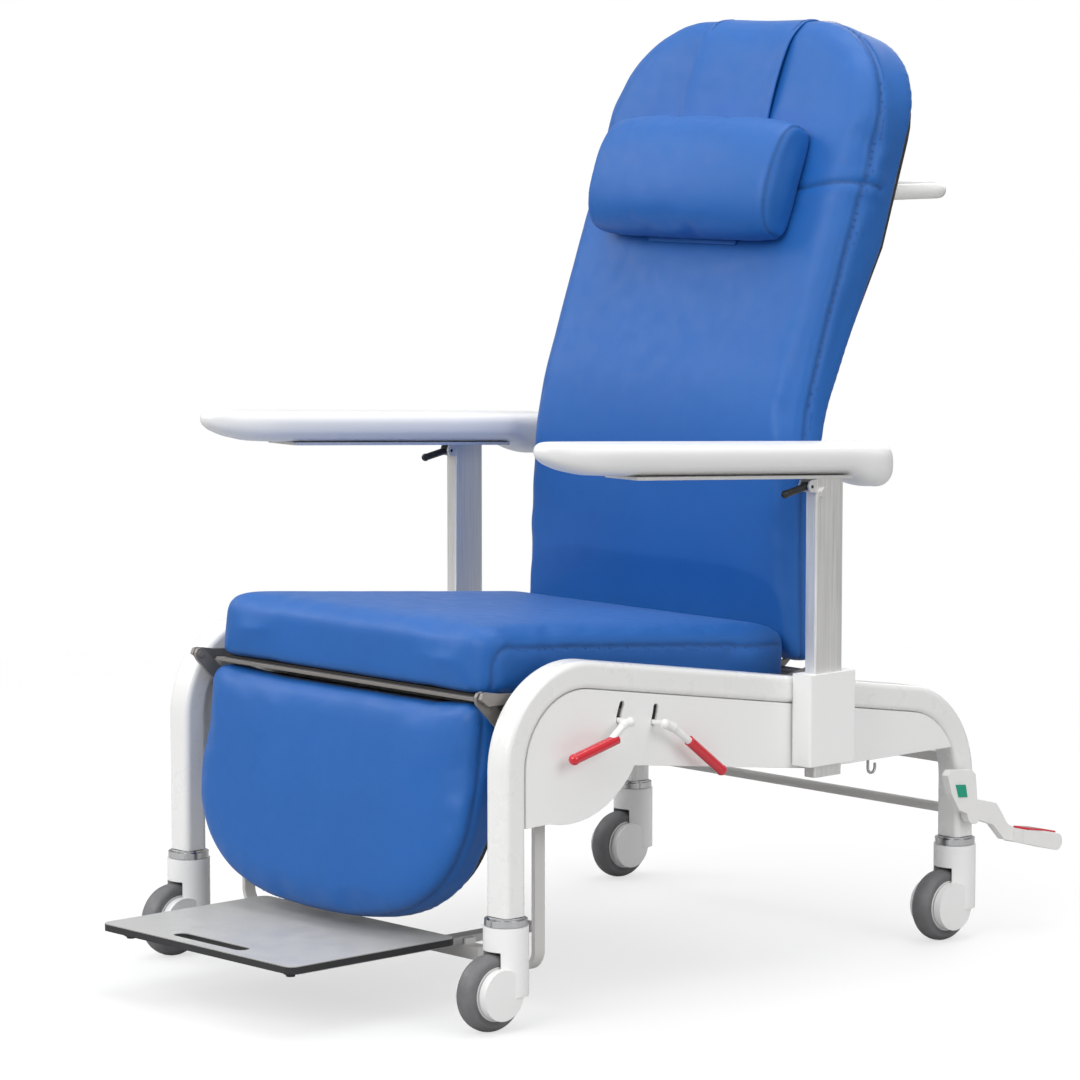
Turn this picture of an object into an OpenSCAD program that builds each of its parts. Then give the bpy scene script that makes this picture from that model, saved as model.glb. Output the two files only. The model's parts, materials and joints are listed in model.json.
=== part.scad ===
// Patient recliner chair on four central-locking castors.
// +X is the patient's left, -Y is the front and +Z is up.  The origin is on the floor, under the
// middle of the chair's outline.

/* [Frame] */
// Height of a caster wheel
wheel_d = 100; // [90:5:110]
// Half of the distance between the left and right legs
leg_x = 325; // [320:1:340]
// Place of the front legs along Y
front_leg_y = -386; // [-396:2:-380]
// Place of the rear legs along Y
rear_leg_y = 469; // [460:1:480]
// Width of the frame tube across the chair
tube_w = 40; // [36:1:44]
// Depth of the frame tube in the side view
tube_d = 36; // [32:1:38]
// Wall of the frame tube
tube_wall = 2; // [1.5:0.5:3]
// Slope of the side rail, down to the rear, in degrees
rail_slope = 8.6; // [7.6:0.2:9.6]

/* [Upholstery] */
// Width of the seat cushion
seat_w = 560; // [520:2:560]
// Depth of the seat cushion
seat_depth = 570; // [556:2:572]
// Thickness of the seat cushion
seat_t = 80; // [60:5:85]
// Slope of the seat, down to the rear, in degrees
seat_slope = 4.8; // [4.4:0.2:5.2]
// Width of the back cushion
back_w = 556; // [520:2:560]
// Width of the legrest cushion
legrest_w = 558; // [500:2:560]
// Length of the legrest cushion
legrest_len = 310; // [290:1:311]
// Length of the headrest pillow
pillow_len = 362; // [300:2:380]

/* [Armrests] */
// Width of an armrest pad
arm_w = 84; // [70:2:90]
// Place of the armrest pad's middle across the chair
arm_x = 338; // [336:1:342]
// Slope of the armrest pad, down to the rear, in degrees
arm_slope = 3.4; // [3:0.1:3.8]

/* [Footrest] */
// Width of the sliding footplate
foot_w = 394; // [360:2:400]
// Depth of the sliding footplate
foot_depth = 282; // [260:2:290]
// Height of the footplate's top above the floor
foot_top = 94.5; // [93:0.5:96]

/* [Hidden] */

$fn = 48;
run = 0.05;              // radial clearance of a turning fit
gap = 0.3;               // gap between parts that are screwed side by side
white = [0.93, 0.93, 0.92];
steel = [0.66, 0.66, 0.65];
dark_steel = [0.35, 0.34, 0.32];
blue = [0.16, 0.34, 0.66];
red = [0.86, 0.18, 0.24];
black = [0.07, 0.07, 0.07];
board = [0.55, 0.42, 0.28];

// Side frame: two legs, two bends and a sloping rail.
collar_top = 146;        // lower end of a leg
front_bend_r = 115;      // bend radius on the tube's middle line
rear_bend_r = 123;
front_bend_z = 331;      // height of the front bend's centre
front_bend_y = front_leg_y + front_bend_r;
rear_bend_y = rear_leg_y - rear_bend_r;
rear_bend_z = front_bend_z
    + (front_bend_r - rear_bend_r - (rear_bend_y - front_bend_y) * sin(rail_slope)) / cos(rail_slope);
rail_len = ((rear_bend_y - front_bend_y) + (rear_bend_r - front_bend_r) * sin(rail_slope))
    / cos(rail_slope);
tube_r = 8;              // corner radius of the tube
butt = 0.02;             // space at each butt joint between a bend and a straight length

// Covers
cover_x = leg_x + tube_w / 2 - 2;   // outer face of the plastic covers
cover_t = 21;
cover_skin = 4;
socket_y = [115, 205];   // front and rear faces of the post socket
socket_z = [287, 411];
socket_x = [leg_x + tube_w / 2, leg_x + tube_w / 2 + 35];

// Seat
seat_origin = [0, -388, 414];       // lower front edge of the seat board
seat_board_t = 9;
cross_y = [111, 488];    // cross tubes, along the seat board from its front edge
cross_size = 30;
side_bar_x = 291;        // inner face of the seat frame's side bars
side_bar_t = 6;

// Pivots, in the side view as [y, z]
legrest_pivot = [-394, 422];
back_pivot = [217, 392];
brake_pivot = [rear_leg_y, 182];
legrest_tilt = 9.25;     // the legrest hangs with its foot end forward
legrest_pin_r = 5;
back_pin_r = 8;
brake_shaft_r = 7;

// Backrest outline in the side view
back_front_y = 194;
back_bottom_z = 405;
back_lean = 20.35;       // lean of the upper back from upright
back_bend_z = 734.5;     // where the two front lines would meet
back_blend = 72;         // length of each line that the blend replaces
back_top_z = 1288;
back_corner_r = 140;     // top corners in the front view
back_rear = [[249, 405], [249, 700], [262, 752], [312, 846], [380, 970], [444, 1158], [474, 1246]];

// Castors
caster_trail = 28;
wheel_w = 30;
fork_w = 56;
hub_r = 35;
disc_r = 33;
axle_r = 5;
stem_r = 12;
fork_top = 134;

// Armrests
post_x = 361;            // middle of the post across the chair
post_size = [20, 52];
post_y = 160;
post_z = [270, 684];
arm_y = [-345, 304];
arm_top_front = 748;
arm_lever_pin = [126, 664];

// Levers under the seat, on the left side
legrest_lever_pivot = [-106, 361];
legrest_lever_slot = [-205, 381];
back_lever_pivot = [-232, 404];
back_lever_slot = [-142, 372];
lever_swing = 12;
lever_x = 365;

// Back strut
strut_fixed = [-200, 340];
strut_free = [235, 307];
strut_angle = atan2(strut_free[1] - strut_fixed[1], strut_free[0] - strut_fixed[0]);
strut_len = norm(strut_free - strut_fixed);
strut_x = 60;

// Footrest
foot_y0 = -636;          // front edge of the footplate
foot_core_t = 8.6;
foot_face_t = 1.2;
hanger_y = [-312, -294];

// ---- shared shapes ----

// Points of an arc with centre c, radius r, from angle a to angle b.
function arc(c, r, a, b, n) = [for (i = [0:n]) c + r * [cos(a + (b - a) * i / n), sin(a + (b - a) * i / n)]];

// Points of a rectangle with round corners, centred on the origin.
function round_rect(w, h, r, n = 5) = concat(
    arc([w / 2 - r, h / 2 - r], r, 0, 90, n), arc([r - w / 2, h / 2 - r], r, 90, 180, n),
    arc([r - w / 2, r - h / 2], r, 180, 270, n), arc([w / 2 - r, r - h / 2], r, 270, 360, n));

// A point given in the seat's own sloping frame, as [y, z] in the side view.
function on_seat(y, z) = [seat_origin[1] + y * cos(seat_slope) + z * sin(seat_slope),
    seat_origin[2] - y * sin(seat_slope) + z * cos(seat_slope)];

// Outline of the side frame at distance o outside the tube's middle line, from front leg to rear leg.
function frame_line(o, n = 12) = concat(
    arc([front_bend_y, front_bend_z], front_bend_r + o, 180, 90 - rail_slope, n),
    arc([rear_bend_y, rear_bend_z], rear_bend_r + o, 90 - rail_slope, 0, n));

// Extrudes a side-view outline along X, from x0 to x1.
module side_extrude(x0, x1) {
    translate([x0, 0, 0]) rotate([90, 0, 90]) linear_extrude(x1 - x0) children();
}

// A rod along X from x0 to x1 at the side-view point p.
module x_rod(p, r, x0, x1) {
    translate([x0, p[0], p[1]]) rotate([0, 90, 0]) cylinder(r = r, h = x1 - x0);
}

// A round rod between two points.
module rod(a, b, r) {
    d = b - a;
    translate(a) rotate([0, acos(d[2] / norm(d)), atan2(d[1], d[0])]) cylinder(r = r, h = norm(d));
}

module mirrored(side) {
    if (side > 0) children();
    else mirror([1, 0, 0]) children();
}

module on_seat_slope() {
    translate(seat_origin) rotate([-seat_slope, 0, 0]) children();
}

module on_legrest() {
    translate([0, legrest_pivot[0], legrest_pivot[1]]) rotate([-legrest_tilt, 0, 0]) children();
}

// ---- chassis ----

// The bent tube at the size less s all round, with its legs starting at height z0.
// Ring section of the frame tube; w is its size along the first axis and d along the second.
module tube_ring(w, d) {
    difference() {
        polygon(round_rect(w, d, tube_r));
        polygon(round_rect(w - 2 * tube_wall, d - 2 * tube_wall, tube_r - tube_wall));
    }
}

module side_frame(side) {
    color(white) mirrored(side) {
        // front leg
        translate([leg_x, front_leg_y, collar_top]) linear_extrude(front_bend_z - collar_top - butt)
            tube_ring(tube_w, tube_d);
        // rear leg, with a passage for the brake shaft
        difference() {
            translate([leg_x, rear_leg_y, collar_top]) linear_extrude(rear_bend_z - collar_top - butt)
                tube_ring(tube_w, tube_d);
            x_rod(brake_pivot, brake_shaft_r + run, leg_x - tube_w, leg_x + tube_w);
        }
        // front bend
        translate([leg_x, front_bend_y, front_bend_z]) rotate([0, 90, 0]) rotate([0, 0, 180 - rail_slope])
            rotate_extrude(angle = 90 + rail_slope, $fn = 96) translate([front_bend_r, 0]) tube_ring(tube_d, tube_w);
        // rear bend
        translate([leg_x, rear_bend_y, rear_bend_z]) rotate([0, 90, 0]) rotate([0, 0, 90])
            rotate_extrude(angle = 90 - rail_slope, $fn = 96) translate([rear_bend_r, 0]) tube_ring(tube_d, tube_w);
        // rail
        translate([leg_x, front_bend_y + front_bend_r * sin(rail_slope),
            front_bend_z + front_bend_r * cos(rail_slope)])
            rotate([-90 - rail_slope, 0, 0]) translate([0, 0, butt]) linear_extrude(rail_len - 2 * butt)
                tube_ring(tube_w, tube_d);
    }
}

// Lower lobe of the front cover, which drops beside the front leg.
lobe_c = [-293, 395];
lobe_r = 140;
cover_low_z = 277;                  // lower edge at the socket
cover_split = 160;                 // where the two covers meet, behind the post socket

function front_cover_line(i) = concat(
    [[front_leg_y + tube_d / 2 + gap + i, 258 + i]],
    [for (p = arc([front_bend_y, front_bend_z], front_bend_r - tube_d / 2 - gap - i, 180, 90 - rail_slope, 12)) p],
    [[cover_split - gap - i, front_bend_z + (front_bend_r - tube_d / 2 - gap - i) / cos(rail_slope)
        - (cover_split - gap - i - front_bend_y) * tan(rail_slope)]],
    [[cover_split - gap - i, cover_low_z + i]],
    arc(lobe_c, lobe_r - i, -33, -104, 10));

module front_cover(side) {
    color(white) mirrored(side) difference() {
        side_extrude(cover_x - cover_t, cover_x) polygon(front_cover_line(0));
        side_extrude(cover_x - cover_t - 1, cover_x - cover_skin) polygon(front_cover_line(cover_skin));
        // slots that the two release levers rise in
        if (side > 0) for (s = [[legrest_lever_slot, legrest_lever_pivot], [back_lever_slot, back_lever_pivot]])
            lever_slot(s[0], s[1]);
    }
}

// A slot along the arc that a lever's pin follows about its pivot.
module lever_slot(pin, pivot) {
    r = norm(pin - pivot);
    a = atan2(pin[1] - pivot[1], pin[0] - pivot[0]);
    turn = pin[0] < pivot[0] ? -lever_swing : lever_swing;
    top = pivot + r * [cos(a + turn), sin(a + turn)];
    for (p = [pin, top]) x_rod(p, 4.5, cover_x - 10, cover_x + 1);
    side_extrude(cover_x - 10, cover_x + 1) polygon(concat(
        arc(pivot, r - 4.5, a, a + turn, 4), arc(pivot, r + 4.5, a + turn, a, 4)));
}

rear_cover_low = 276;
function rear_cover_line(i) = concat(
    [[cover_split + gap + i, rear_cover_low + i]],
    [[cover_split + gap + i, front_bend_z + (front_bend_r - tube_d / 2 - gap - i) / cos(rail_slope)
        - (cover_split + gap + i - front_bend_y) * tan(rail_slope)]],
    arc([rear_bend_y, rear_bend_z], rear_bend_r - tube_d / 2 - gap - i, 90 - rail_slope,
        asin((rear_cover_low + i - rear_bend_z) / (rear_bend_r - tube_d / 2 - gap - i)), 12));

module rear_cover(side) {
    color(white) mirrored(side) difference() {
        side_extrude(cover_x - cover_t, cover_x) polygon(rear_cover_line(0));
        side_extrude(cover_x - cover_t - 1, cover_x - cover_skin) polygon(rear_cover_line(cover_skin));
    }
}

module post_socket(side) {
    mid_y = (socket_y[0] + socket_y[1]) / 2;
    mid_x = (socket_x[0] + socket_x[1]) / 2;
    slot = post_size + [0.3, 0.3];
    color(white) mirrored(side) difference() {
        translate([mid_x, mid_y, socket_z[0]]) linear_extrude(socket_z[1] - socket_z[0])
            polygon(round_rect(socket_x[1] - socket_x[0], socket_y[1] - socket_y[0], 4));
        translate([post_x, post_y, socket_z[0] - 1]) linear_extrude(socket_z[1] - socket_z[0] + 2)
            square(slot, center = true);
    }
}

module hollow_tube_x(y, z, half_len, size, wall) {
    translate([-half_len, y, z]) rotate([90, 0, 90]) linear_extrude(2 * half_len) difference() {
        square(size, center = true);
        square(size - [2 * wall, 2 * wall], center = true);
    }
}

// Two tubes under the seat and one between the rear legs, with plates that bolt to the side frames.
module cross_tubes() {
    inner = leg_x - tube_w / 2;
    color(dark_steel) {
        on_seat_slope() for (y = cross_y)
            hollow_tube_x(y, -cross_size / 2, inner - 4, [cross_size, cross_size], 2);
        for (side = [-1, 1]) mirrored(side) {
            side_extrude(inner - 6, inner) polygon([[-312, 330], [-252, 330], [-252, 440], [-312, 440]]);
            side_extrude(inner - 6, inner) polygon([[70, 320], [130, 320], [130, 385], [70, 385]]);
        }
    }
    color(white) hollow_tube_x(rear_leg_y - 2, 256, inner, [26, 14], 1.5);
    // clevis that holds the fixed end of the back strut
    color(dark_steel) {
        for (x = [strut_x - 9.5, strut_x + 5.5]) side_extrude(x, x + 4)
            polygon([[-282, 374], [-262, 372], [-190, 346], [-190, 334], [-206, 330], [-282, 356]]);
        x_rod(strut_fixed, 4, strut_x - 9, strut_x + 9);
    }
}

// Plate inside the left rail that carries the pivots of the two release levers.
module lever_bracket() {
    inner = leg_x - tube_w / 2;
    color(dark_steel) {
        side_extrude(inner - 5, inner) polygon([[-245, 345], [-80, 338], [-80, 404], [-120, 430], [-245, 435]]);
        x_rod(legrest_lever_pivot, 4, inner - 1, 338);
        x_rod(back_lever_pivot, 4, inner - 1, 338);
    }
}

// Flat side bars with the legrest pins at the front and the back pivot tube across the rear.
module seat_frame() {
    ear_f = legrest_pivot;
    ear_r = back_pivot;
    color(dark_steel) {
        for (side = [-1, 1]) mirrored(side) {
            difference() {
                side_extrude(side_bar_x, side_bar_x + side_bar_t) polygon([on_seat(-1, -2), on_seat(20, 0),
                    on_seat(596, 0), on_seat(612, 10), ear_r + [14, 6], ear_r + [0, 14], ear_r + [-20, 14],
                    on_seat(500, 18), on_seat(20, 14), ear_f + [3, 8.5], ear_f + [-5, 7.5], ear_f + [-8.5, 0]]);
                x_rod(back_pivot, back_pin_r, side_bar_x - 1, side_bar_x + side_bar_t + 1);
            }
            x_rod(legrest_pivot, legrest_pin_r, 282, side_bar_x + 1);
            // packing strip that ties the bar to the cross tubes and the board
            on_seat_slope() translate([264, 96, 0]) cube([side_bar_x - 264, 30, 6]);
            on_seat_slope() translate([264, 473, 0]) cube([side_bar_x - 264, 30, 6]);
        }
        x_rod(back_pivot, back_pin_r, -side_bar_x - side_bar_t, side_bar_x + side_bar_t);
        // flat edging that closes the board's front edge
        on_seat_slope() translate([-262, 3, 1.2]) cube([524, 14, 4.6]);
    }
}

module seat_board() {
    color(board) on_seat_slope() translate([-262, 17.2, 0]) cube([524, seat_depth - 36, seat_board_t]);
}

module seat_cushion() {
    color(blue) on_seat_slope() translate([0, seat_depth / 2, seat_board_t + 0.3])
        linear_extrude(seat_t) polygon(round_rect(seat_w, seat_depth, 26));
}

module leg_collars() {
    color([0.85, 0.86, 0.88]) for (side = [-1, 1]) for (y = [front_leg_y, rear_leg_y])
        translate([side * leg_x, y, 0]) {
            translate([0, 0, fork_top + 0.6]) cylinder(r = 28, h = 8.4);
            translate([0, 0, fork_top + 8]) cylinder(r = 24, h = 145.5 - fork_top - 8);
            translate([0, 0, 112]) cylinder(r = stem_r, h = fork_top - 110);
            // foot of the leg's plug, which fills the tube's mouth
            translate([0, 0, 145]) linear_extrude(20) polygon(round_rect(tube_w - 2 * tube_wall - 0.2,
                tube_d - 2 * tube_wall - 0.2, tube_r - tube_wall));
        }
}

module accessory_hook() {
    x = leg_x + 5;
    y = 283;
    color(steel) {
        rod([x, y, 262], [x, y, rear_cover_low - 1], 2);
        translate([x, y + 7, 262]) rotate([0, 90, 0]) rotate([0, 0, -90])
            rotate_extrude(angle = 180, $fn = 48) translate([7, 0]) circle(r = 2, $fn = 24);
        rod([x, y + 14, 262], [x, y + 14, 268], 2);
        translate([x - 6, y - 6, rear_cover_low - 1.5]) cube([12, 12, 1.5]);
    }
}

// Two flat hangers and a cross bar that carries the footplate's runners.
module footrest_frame() {
    x1 = leg_x - tube_w / 2 - 6;
    bar_z = [56, 74];
    hanger_top = 371;
    color([0.8, 0.8, 0.79]) {
        for (side = [-1, 1]) mirrored(side) {
            translate([x1 - 6, hanger_y[0], bar_z[0] + 30]) cube([6, hanger_y[1] - hanger_y[0], hanger_top - bar_z[0] - 30]);
            translate([x1 - 30, hanger_y[1], bar_z[0] + 30]) rotate([90, 0, 0]) rotate([0, 0, -90])
                rotate_extrude_strip(24, 30, hanger_y[1] - hanger_y[0]);
        }
        translate([30 - x1, hanger_y[0], bar_z[0]]) cube([2 * x1 - 60, hanger_y[1] - hanger_y[0], 6]);
        translate([-190, hanger_y[0], bar_z[0] + 6]) cube([380, hanger_y[1] - hanger_y[0], 12]);
        // guides beside each runner
        for (side = [-1, 1]) for (x = [134, 162.4]) mirrored(side)
            translate([x, hanger_y[0], bar_z[1]]) cube([3.4, hanger_y[1] - hanger_y[0], 8]);
    }
}

// A quarter bend of flat strip, from radius a to radius b.
module rotate_extrude_strip(a, b, w) {
    rotate_extrude(angle = 90, $fn = 64) translate([a, 0]) square([b - a, w]);
}

// ---- footplate ----

module foot_outline(inset) {
    mid_y = foot_y0 + foot_depth / 2;
    difference() {
        translate([0, mid_y]) polygon(round_rect(foot_w - 2 * inset, foot_depth - 2 * inset, 14 - inset, 8));
        // hand hole along the front edge
        translate([0, foot_y0 + 30]) {
            square([122, 22], center = true);
            for (x = [-61, 61]) translate([x, 0]) circle(r = 11);
        }
    }
}

module footplate_core() {
    color(black) translate([0, 0, foot_top - foot_face_t - foot_core_t]) linear_extrude(foot_core_t)
        foot_outline(0);
}

module footplate_laminate() {
    color([0.78, 0.78, 0.78]) translate([0, 0, foot_top - foot_face_t]) linear_extrude(foot_face_t)
        foot_outline(0.8);
}

module footplate_runners() {
    z0 = 74.3;
    z1 = foot_top - foot_face_t - foot_core_t;
    color(steel) for (x = [-150, 150]) {
        translate([x - 12, foot_y0 + 40, z0]) cube([24, 420, z1 - z0]);
        translate([x - 15, foot_y0 + 440, z0]) cube([30, 20, z1 - z0]);
    }
}

module footplate_feet() {
    color(black) for (x = [-165, 165]) translate([x, foot_y0 + 26, 0]) {
        translate([0, 0, 78]) cylinder(r = 9, h = foot_top - foot_face_t - foot_core_t - 78);
        translate([0, 0, 75]) cylinder(r = 6, h = 3);
    }
}

// ---- backrest ----

back_slope = tan(back_lean);
function back_front_at(z) = back_front_y + max(0, z - back_bend_z) * back_slope;

function back_front_points() = let (r = back_blend / tan(back_lean / 2)) concat(
    [[back_front_y, back_bottom_z]],
    arc([back_front_y + r, back_bend_z - back_blend], r, 180, 180 - back_lean, 8),
    [[back_front_at(back_top_z - 26), back_top_z - 26], [back_front_at(back_top_z) + 12, back_top_z]]);

module back_side_view() {
    polygon(concat(back_front_points(), [[back_front_at(back_top_z) + 42, back_top_z]],
        [for (i = [len(back_rear) - 1:-1:0]) back_rear[i]]));
}

module back_front_view(w, top, corner, z0) {
    translate([0, 800, 0]) rotate([90, 0, 0]) linear_extrude(800) polygon(concat(
        [[w / 2, z0]], arc([w / 2 - corner, top - corner], corner, 0, 90, 10),
        arc([corner - w / 2, top - corner], corner, 90, 180, 10), [[-w / 2, z0]]));
}

module backrest_cushion() {
    color(blue) intersection() {
        side_extrude(-back_w / 2, back_w / 2) back_side_view();
        back_front_view(back_w, back_top_z + 1, back_corner_r, back_bottom_z - 1);
    }
}

// Rear outline moved back by d.
function behind(d) = [for (p = back_rear) p + [d, 0]];

module backrest_board() {
    color(board) intersection() {
        side_extrude(-250, 250) polygon(concat(behind(0.5), [for (i = [len(back_rear) - 1:-1:0])
            behind(10.5)[i]]));
        back_front_view(500, 1236, 120, 420);
    }
}

// Upright tubes of the back's frame, in the side view.
upright_x = 200;
upright_r = 12.5;
upright_line = [[275, 440], [275, 700], [290, 752], [340, 846], [406, 970], [452, 1105]];

module uprights() {
    for (side = [-1, 1]) mirrored(side) for (i = [0:len(upright_line) - 2])
        rod([upright_x, upright_line[i][0], upright_line[i][1]],
            [upright_x, upright_line[i + 1][0], upright_line[i + 1][1]], upright_r);
}

module backrest_frame() {
    color(dark_steel) for (side = [-1, 1]) mirrored(side) {
        for (p = upright_line) translate([upright_x, p[0], p[1]]) sphere(r = upright_r + 0.6);
        difference() {
            side_extrude(196, 204) polygon([[203, 380], [212, 376], [226, 376], [262, 404], [287, 440],
                [287, 470], [263, 470], [262, 418], [252, 410], [252, 403], [203, 403]]);
            x_rod(back_pivot, back_pin_r + run, 190, 210);
        }
    }
    color(dark_steel) {
        uprights();
        for (p = [[275, 600], [406, 970]]) x_rod(p, 9, -upright_x, upright_x);
        // arm that the strut pushes on, straight below the lower cross tube's ears
        for (x = [strut_x - 17, strut_x + 11]) difference() {
            side_extrude(x, x + 6) polygon([[204, 384], [204, 378], [212, 376], [220, 358], [223, 340],
                [223, 297], [245, 297], [245, 315], [262, 404], [285, 590], [285, 604], [265, 604],
                [262, 440], [262, 418], [252, 410], [252, 403], [204, 402]]);
            x_rod(back_pivot, back_pin_r + run, x - 1, x + 7);
            x_rod(strut_free, 5.5, x - 1, x + 7);
        }
    }
}

handle_z = 1045;
handle_y = 560;
handle_half = 222;
module push_handle() {
    r = 11;
    bend = 40;
    y0 = 424;
    color(white) difference() {
        union() {
            for (side = [-1, 1]) mirrored(side) {
                rod([handle_half, y0, handle_z], [handle_half, handle_y - bend, handle_z], r);
                translate([handle_half - bend, handle_y - bend, handle_z])
                    rotate_extrude(angle = 90, $fn = 64) translate([bend, 0]) circle(r = r, $fn = 32);
            }
            rod([bend - handle_half, handle_y, handle_z], [handle_half - bend, handle_y, handle_z], r);
        }
        // saddles where it is welded to the uprights
        uprights();
    }
}

// Strap that the pillow slides along: up the front of the back and over its top.
strap_t = 4;
module pillow_strap() {
    w = 87;
    z0 = 966;
    z1 = back_top_z - 26;
    z2 = back_top_z;
    color(blue) side_extrude(-w, w) polygon([
        [back_front_at(z0) - 0.3, z0], [back_front_at(z1) - 0.3, z1],
        [back_front_at(z2) + 12 - 0.3, z2 + 0.4], [back_front_at(z2) + 42, z2 + 0.4], [486, 1248], [446.5, 1130],
        [450.5, 1130], [490, 1249], [back_front_at(z2) + 44, z2 + strap_t], [back_front_at(z2) + 10, z2 + strap_t],
        [back_front_at(z1) - 0.3 - strap_t, z1 + 1], [back_front_at(z0) - 0.3 - strap_t, z0 + 1]]);
}

// Pillow: D-shaped bolster lying along X with its flat side on the strap.
pillow_z = 1050;
pillow_h = 190;
pillow_t = 84;
module headrest_pillow() {
    y = back_front_at(pillow_z) - strap_t - 1;
    color(blue) translate([0, y, pillow_z]) rotate([-back_lean, 0, 0])
        side_extrude(-pillow_len / 2, pillow_len / 2) polygon(concat(
            [[0, -pillow_h / 2 + 14], [0, pillow_h / 2 - 14]],
            [for (i = [1:11]) let (a = 90 + 180 * i / 12) [-8 + (pillow_t - 8) * cos(a), pillow_h / 2 * sin(a)]]));
}

// ---- strut of the backrest ----

module on_strut() {
    translate([strut_x, strut_fixed[0], strut_fixed[1]]) rotate([strut_angle, 0, 0]) children();
}

module back_strut_cylinder() {
    color(black) on_strut() difference() {
        union() {
            rod([0, 17, 0], [0, 262, 0], 11);
            side_eye(9);
        }
        rotate([0, 90, 0]) cylinder(r = 4 + run, h = 30, center = true);
        rod([0, 40, 0], [0, 290, 0], 5.4);
    }
}

module side_eye(r) {
    rotate([0, 90, 0]) cylinder(r = r, h = 10, center = true);
    translate([-5, 0, -6]) cube([10, 19, 12]);
}

module back_strut_rod() {
    color([0.8, 0.8, 0.82]) on_strut() {
        rod([0, 170, 0], [0, strut_len - 6, 0], 5);
        translate([0, strut_len, 0]) rotate([0, 90, 0]) cylinder(r = 8, h = 9, center = true);
    }
}

// ---- legrest ----

pad_front = 6;           // cushion's front face behind the pivot
pad_top = -7;
legrest_t = 62;

// Legrest outline in its own plane: straight sides that run into one round end.
function legrest_line(w, len, top_r) = let (straight = 110, p = 2.6, h = len - straight) concat(
    arc([w / 2 - top_r, -top_r], top_r, 90, 0, 4),
    [for (i = [0:20]) let (a = 90 * i / 20)
        [w / 2 * pow(cos(a), 2 / p), -straight - h * pow(sin(a), 2 / p)]],
    [for (i = [19:-1:0]) let (a = 90 * i / 20)
        [-w / 2 * pow(cos(a), 2 / p), -straight - h * pow(sin(a), 2 / p)]],
    arc([top_r - w / 2, -top_r], top_r, 180, 90, 4));

module legrest_slab(y0, t, w, len, top) {
    on_legrest() translate([0, y0 + t, top]) rotate([90, 0, 0]) linear_extrude(t)
        polygon(legrest_line(w, len, 24));
}

module legrest_cushion() {
    color(blue) legrest_slab(pad_front, legrest_t, legrest_w, legrest_len, pad_top);
}

module legrest_board() {
    color(board) legrest_slab(pad_front + legrest_t + 0.3, 9, legrest_w - 40, legrest_len - 24, pad_top - 6);
}

module legrest_frame() {
    y = pad_front + legrest_t + 0.3 + 9;
    color(dark_steel) on_legrest() {
        for (side = [-1, 1]) mirrored(side) {
            difference() {
                side_extrude(283, 288) polygon([[-9, -4], [-5, -9], [70, -62], [y + 14, -62], [y + 14, -38],
                    [60, -30], [7, 6], [0, 9], [-7, 6], [-9, 1]]);
                rotate([0, 90, 0]) cylinder(r = legrest_pin_r + run, h = 700, center = true);
            }
            translate([168, y, -250]) cube([24, 5, 215]);
        }
        translate([-283, y + 5, -60]) cube([566, 9, 20]);
    }
}

// ---- armrests ----

function arm_top(y) = arm_top_front - (y - arm_y[0]) * tan(arm_slope);
arm_t = 41;

// Faces of the mounting plate under the pad, as depths below the line of the pad's top.
plate_depth = [arm_t + 0.3, arm_t + 4.3];
post_end = plate_depth[1] + 0.03;

module armrest_post(side) {
    y = [post_y - 30, post_y + 30];
    color([0.72, 0.71, 0.68]) mirrored(side) difference() {
        union() {
            translate([post_x, post_y, post_z[0]]) linear_extrude(arm_top(post_y) - plate_depth[0] - post_z[0])
                polygon(round_rect(post_size[0], post_size[1], 2, 2));
            // lugs of the height lever, on the front face
            for (x = [post_x - 10, post_x + 7]) side_extrude(x, x + 3)
                polygon([[post_y - 25, 655], [post_y - 25, 674], arm_lever_pin + [-4, 8],
                    arm_lever_pin + [-7, 0], arm_lever_pin + [-4, -7]]);
            // knob on the outer face
            x_rod([post_y - 14, 655], 7, post_x + post_size[0] / 2 - 1, post_x + post_size[0] / 2 + 5);
        }
        translate([post_x, post_y, post_z[0] - 1])
            linear_extrude(arm_top(post_y) - plate_depth[1] - 8 - post_z[0])
            square(post_size - [4, 4], center = true);
        x_rod(arm_lever_pin, 2.5, post_x - 11, post_x + 11);
        // sloped top, flush with the underside of the plate
        side_extrude(post_x - 11, post_x + 11) polygon([[y[0], arm_top(y[0]) - post_end],
            [y[1], arm_top(y[1]) - post_end], [y[1], 760], [y[0], 760]]);
    }
}

module armrest_plate(side) {
    y = [-200, 205];
    color([0.6, 0.58, 0.56]) mirrored(side) side_extrude(arm_x - 26, arm_x + 34)
        polygon([[y[0], arm_top(y[0]) - plate_depth[0]], [y[1], arm_top(y[1]) - plate_depth[0]],
            [y[1], arm_top(y[1]) - plate_depth[1]], [y[0], arm_top(y[0]) - plate_depth[1]]]);
}

module armrest_pad(side) {
    e = arm_y[1];
    lobe = 29;           // radius of the round rear end
    zc = arm_top(e) - lobe;
    under = [for (y = [206, -232]) [y, arm_top(y) - arm_t]];
    color(white) mirrored(side) intersection() {
        side_extrude(arm_x - arm_w / 2, arm_x + arm_w / 2) polygon(concat(
            [[arm_y[0] + 10, arm_top(arm_y[0])]], arc([e - lobe, zc + 1.5], lobe, 84, -96, 10),
            [[214, arm_top(214) - arm_t - 10], [206, under[0][1]], [-232, under[1][1]],
            [-290, arm_top(-290) - arm_t + 2], [-330, arm_top(-330) - 24], [arm_y[0], arm_top(arm_y[0]) - 10],
            [arm_y[0] + 2, arm_top(arm_y[0]) - 3]]));
        translate([arm_x, 0, 600]) linear_extrude(200) polygon(concat(
            [for (i = [0:10]) let (a = 180 + 18 * i) [arm_w / 2 * cos(a), arm_y[0] + 75 + 75 * sin(a)]],
            arc([0, e - 40], arm_w / 2, 0, 180, 10)));
    }
}

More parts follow.
